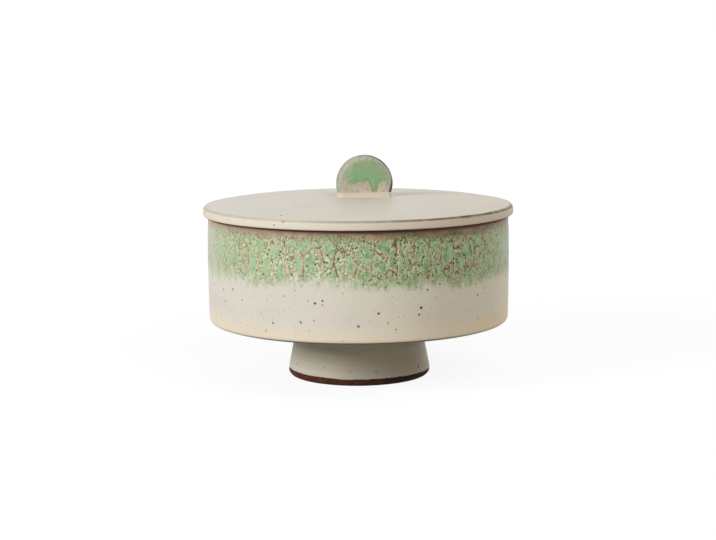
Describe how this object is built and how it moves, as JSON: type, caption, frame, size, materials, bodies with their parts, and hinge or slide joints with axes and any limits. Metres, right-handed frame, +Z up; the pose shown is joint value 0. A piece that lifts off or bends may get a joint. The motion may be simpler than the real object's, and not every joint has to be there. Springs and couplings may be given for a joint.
{
  "type": "lidded footed box",
  "caption": "Round glazed stoneware box on a flared foot, with a low-crowned overhanging lid that lifts off by a round tab; it holds small things.",
  "frame": {"origin": "on the box's axis, on the surface that the foot stands on", "axes": "+Z up along the box's axis, -Y towards the viewer of the picture, +X to the viewer's right"},
  "size_m": [0.145, 0.145, 0.1032],
  "materials": {
    "cream_glaze": "satin-matt cream glaze with sparse iron specks",
    "green_glaze": "crawled green reactive glaze",
    "bare_clay": "bare red-brown stoneware"
  },
  "bodies": {
    "box": {"bowl": "cream_glaze", "foot": "cream_glaze"},
    "cover": {"lid": "cream_glaze", "lid_flange": "bare_clay", "knob": "green_glaze", "knob_fillet": "cream_glaze"}
  },
  "joints": [
    {"name": "lid_lift", "type": "slide", "parent": "box", "child": "cover", "axis": [0, 0, 1], "range_m": [0, 0.08]}
  ]
}
